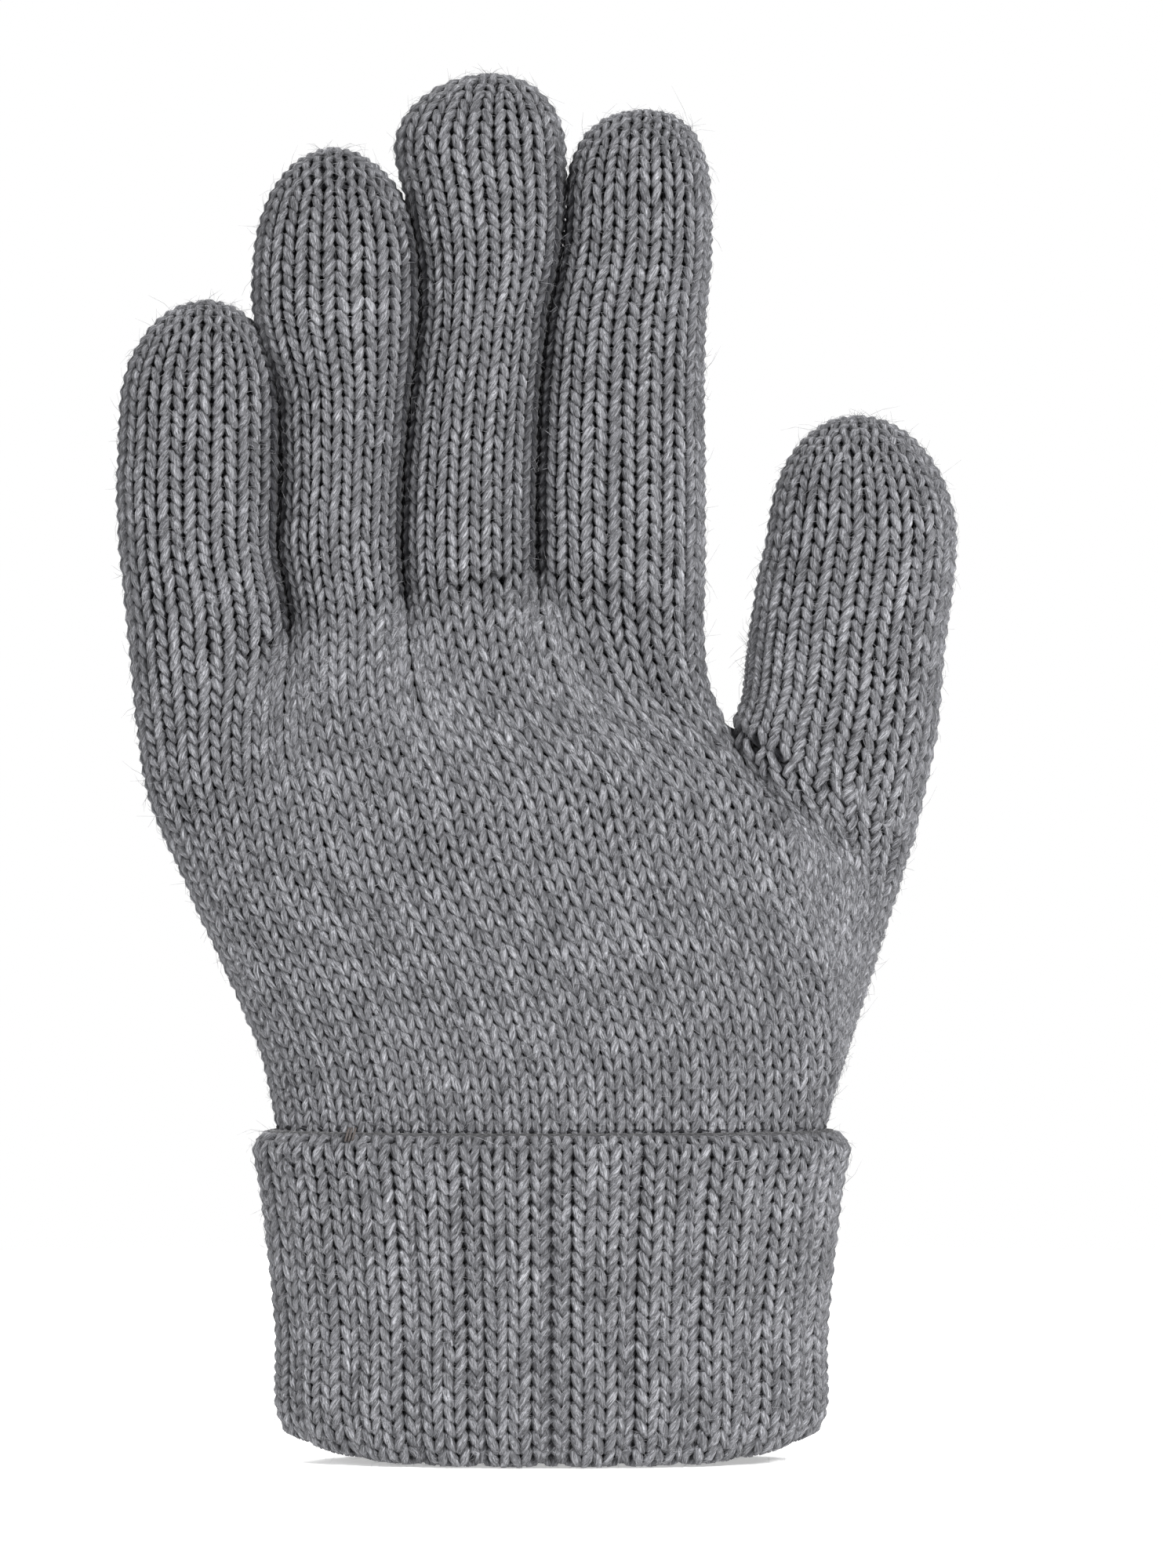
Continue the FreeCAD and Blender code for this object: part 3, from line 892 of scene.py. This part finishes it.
def build_hand():
    with_gusset, without_gusset = hand_surfaces()
    strands = Strands()
    whole = 2 * (PALM_WALES + GUSSET_WALES)
    back_start = whole - PALM_WALES

    def loops(surface, v, first_u, last_u, wales):
        return course_of_loops(surface, v, first_u, last_u, wales, PALM_KNIT)

    for course in range(HAND_COURSES):
        v = course + 0.5
        if course < THUMB_COURSE:
            parts = [loops(with_gusset, v, 0, PALM_WALES, PALM_WALES)]
            wales = min(GUSSET_WALES, round(GUSSET_WALES * course / GUSSET_STITCHES_FULL_COURSE))
            if wales:
                parts.append(loops(with_gusset, v, PALM_WALES, back_start, 2 * wales))
            parts.append(loops(with_gusset, v, back_start, whole, PALM_WALES))
        else:
            parts = [loops(without_gusset, v, 0, 2 * PALM_WALES, 2 * PALM_WALES)]
        add_course(strands, parts, PALM_KNIT)
    yarn = strands.build("hand_yarn", YARN_LOOK)
    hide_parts("palm_tube", "wrist_knit")
    low = lining_shell("hand_lining", with_gusset, whole, 0, THUMB_COURSE)
    high = lining_shell("finger_base_lining", without_gusset, 2 * PALM_WALES, THUMB_COURSE,
                        HAND_COURSES)
    for piece in (yarn, low, high):
        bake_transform(piece)


def length_round(surface, v):
    """The length of one course round a digit."""
    ring = surface(np.linspace(0, DIGIT_WALES, 4 * DIGIT_WALES + 1), v)
    return np.linalg.norm(np.diff(ring, axis=0), axis=1).sum()


def build_digit(name, digit):
    surface, straight, dome_courses = digit_surface(digit)
    knit = THUMB_KNIT if name == "thumb" else FINGER_KNIT
    total = straight + dome_courses
    middle_start = sum(digit["line"]) / 2
    split = round((digit["seam"] - middle_start) / (digit["dome"] - middle_start) * straight)
    parts = {"lower": (0, split), "upper": (split, total)}
    for part, (first, last) in parts.items():
        strands = Strands()
        for course in range(first, last):
            v = course + 0.5
            around = length_round(surface, v)
            # A rounded end has fewer stitches towards its tip, and narrow stitches are finer.
            wales = int(min(knit["wales"], max(4, 2 * round(around / SMALLEST_WALE / 2))))
            radius = min(knit["radius"], max(SMALLEST_YARN, YARN_SHARE * around / wales))
            course_knit = {**knit, "radius": radius}
            loops = course_of_loops(surface, v, 0, DIGIT_WALES, wales, course_knit)
            add_course(strands, [loops], course_knit, digit)
        yarn = strands.build(f"{name}_{part}_yarn", YARN_LOOK)
        shell = lining_shell(f"{name}_{part}_lining", surface, DIGIT_WALES, first, last,
                             tip=part == "upper")
        for piece in (yarn, shell):
            if part == "lower":
                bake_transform(piece)
            else:
                low, high = digit["bend"]
                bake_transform(piece)
        if part == "lower":
            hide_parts(f"{name}_root_knit", f"{name}_lower_sleeve")
        else:
            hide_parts(f"{name}_knuckle_knit", f"{name}_upper_sleeve")


# The cuff's lining starts this many courses inside the turned-up edge.
LINING_TUCK = 0.3


def build_cuff():
    surface, courses, fold = cuff_surface()
    fold_start = int(fold) - 1
    inside_start = int(fold) + 2
    stretches = {
        "cuff_turned_up_rib": (0, fold_start, CUFF_KNIT, ("cuff_turned_up_layer", "cuff_top_edge")),
        "cuff_fold_rib": (fold_start, inside_start, CUFF_KNIT, ("cuff_fold",)),
        "cuff_inner_rib": (inside_start, int(courses), INSIDE_KNIT, ("cuff_inner_layer",)),
    }
    for name, (first, last, knit, nodes) in stretches.items():
        strands = Strands()
        for course in range(first, last):
            loops = course_of_loops(surface, course + 0.5, 0, CUFF_WALES, CUFF_WALES, knit)
            add_course(strands, [loops], knit)
        yarn = strands.build(name, YARN_LOOK)
        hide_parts(*nodes)
        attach(yarn, "cuff")
        shell = lining_shell(name.replace("_rib", "_lining"), surface, CUFF_WALES,
                             max(first, LINING_TUCK), last)
        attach(shell, "cuff")


# The tack's turns along the crease; half the lean, depth and height of each, and how far out of the
# middle of its solid they lie.
TACK_SHIFTS = (-0.55, 0.0, 0.6)
TACK_TURN = (0.3, 0.55, 1.1)
TACK_OUT = 0.9
TACK_RADIUS = 0.22
TACK_POINTS = 20


def build_tack():
    """Three short turns of thread that hold the turned-up edge to the wrist."""
    low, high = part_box("cuff_tack_stitch")
    middle = (np.array(low) + np.array(high)) / 2 / MM
    strands = Strands()
    lean, reach, rise = TACK_TURN
    angle = np.linspace(0, FULL_TURN, TACK_POINTS, endpoint=False)
    normal = np.tile((1.0, 0.0, 0.0), (TACK_POINTS, 1))
    even = np.ones(TACK_POINTS)
    for shift in TACK_SHIFTS:
        across = shift + lean * np.sin(angle)
        path = middle + stack(across, reach * np.cos(angle) - TACK_OUT, rise * np.sin(angle))
        strands.sweep(path, normal, TACK_RADIUS * even, 0 * even, even, 6)
    tack = strands.build("tack_thread", [tack_material()])
    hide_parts("cuff_tack_stitch")
    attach(tack, "cuff")


build_cuff()
build_tack()
build_hand()
for digit_name, digit_shape in DIGITS.items():
    build_digit(digit_name, digit_shape)


# ---------------------------------------------------------------- stage, light and camera

VIEW_CENTRE = (5.2 * MM, 0.0, 117.2 * MM)
VIEW_HEIGHT = 271.6 * MM
CAMERA_DISTANCE = 1.3
SENSOR_WIDTH = 36.0
AMBIENT = 0.22
FLOOR_RADIUS = 0.6
LIGHT_TARGET = (0, 0, 0.11)
# Each light's place, size and power.
LIGHTS = {
    "key": ((0.7, -1.1, 0.8), 0.4, 34),
    "fill": ((-0.9, -0.8, 0.45), 0.6, 6),
    "back": ((-0.4, 1.1, 0.9), 0.6, 24),
}


def build_floor():
    material, _, _, shader = new_material("studio_floor")
    shader.inputs["Base Color"].default_value = (0.95, 0.95, 0.95, 1)
    shader.inputs["Roughness"].default_value = 0.9
    shader.inputs["Emission Color"].default_value = (1, 1, 1, 1)
    shader.inputs["Emission Strength"].default_value = 0.45
    bpy.ops.mesh.primitive_circle_add(vertices=96, radius=FLOOR_RADIUS, fill_type="NGON")
    floor = bpy.context.active_object
    floor.name = "floor"
    floor.data.materials.append(material)


def area_light(name, place, size, power):
    light = bpy.data.lights.new(name, "AREA")
    light.shape = "RECTANGLE"
    light.size = light.size_y = size
    light.energy = power
    item = bpy.data.objects.new(name, light)
    item.location = place
    bpy.context.scene.collection.objects.link(item)
    direction = np.array(LIGHT_TARGET) - np.array(place)
    yaw = math.atan2(direction[0], -direction[1])
    pitch = math.acos(-direction[2] / np.linalg.norm(direction))
    item.rotation_euler = (pitch, 0, yaw + math.pi)


def build_studio():
    world = bpy.data.worlds.new("studio")
    bpy.context.scene.world = world
    world.use_nodes = True
    nodes, links = world.node_tree.nodes, world.node_tree.links
    background = nodes["Background"]
    background.inputs["Color"].default_value = (1.0, 1.0, 1.0, 1)
    # The camera sees a white background, and the glove is lit by a dimmer one.
    seen = nodes.new("ShaderNodeLightPath").outputs["Is Camera Ray"]
    strength = math_node(nodes, links, "MULTIPLY_ADD", seen, 1.0 - AMBIENT, AMBIENT)
    links.new(strength, background.inputs["Strength"])
    for name, (place, size, power) in LIGHTS.items():
        area_light(name, place, size, power)


def build_camera():
    data = bpy.data.cameras.new("camera")
    camera = bpy.data.objects.new("camera", data)
    bpy.context.scene.collection.objects.link(camera)
    data.sensor_fit = "AUTO"
    data.sensor_width = SENSOR_WIDTH
    data.lens = SENSOR_WIDTH * CAMERA_DISTANCE / VIEW_HEIGHT
    data.clip_start = 0.05
    data.clip_end = 30.0
    camera.location = (VIEW_CENTRE[0], -CAMERA_DISTANCE, VIEW_CENTRE[2])
    camera.rotation_euler = (math.pi / 2, 0, 0)
    bpy.context.scene.camera = camera


build_floor()
build_studio()
build_camera()
bpy.context.scene.view_settings.view_transform = "Standard"
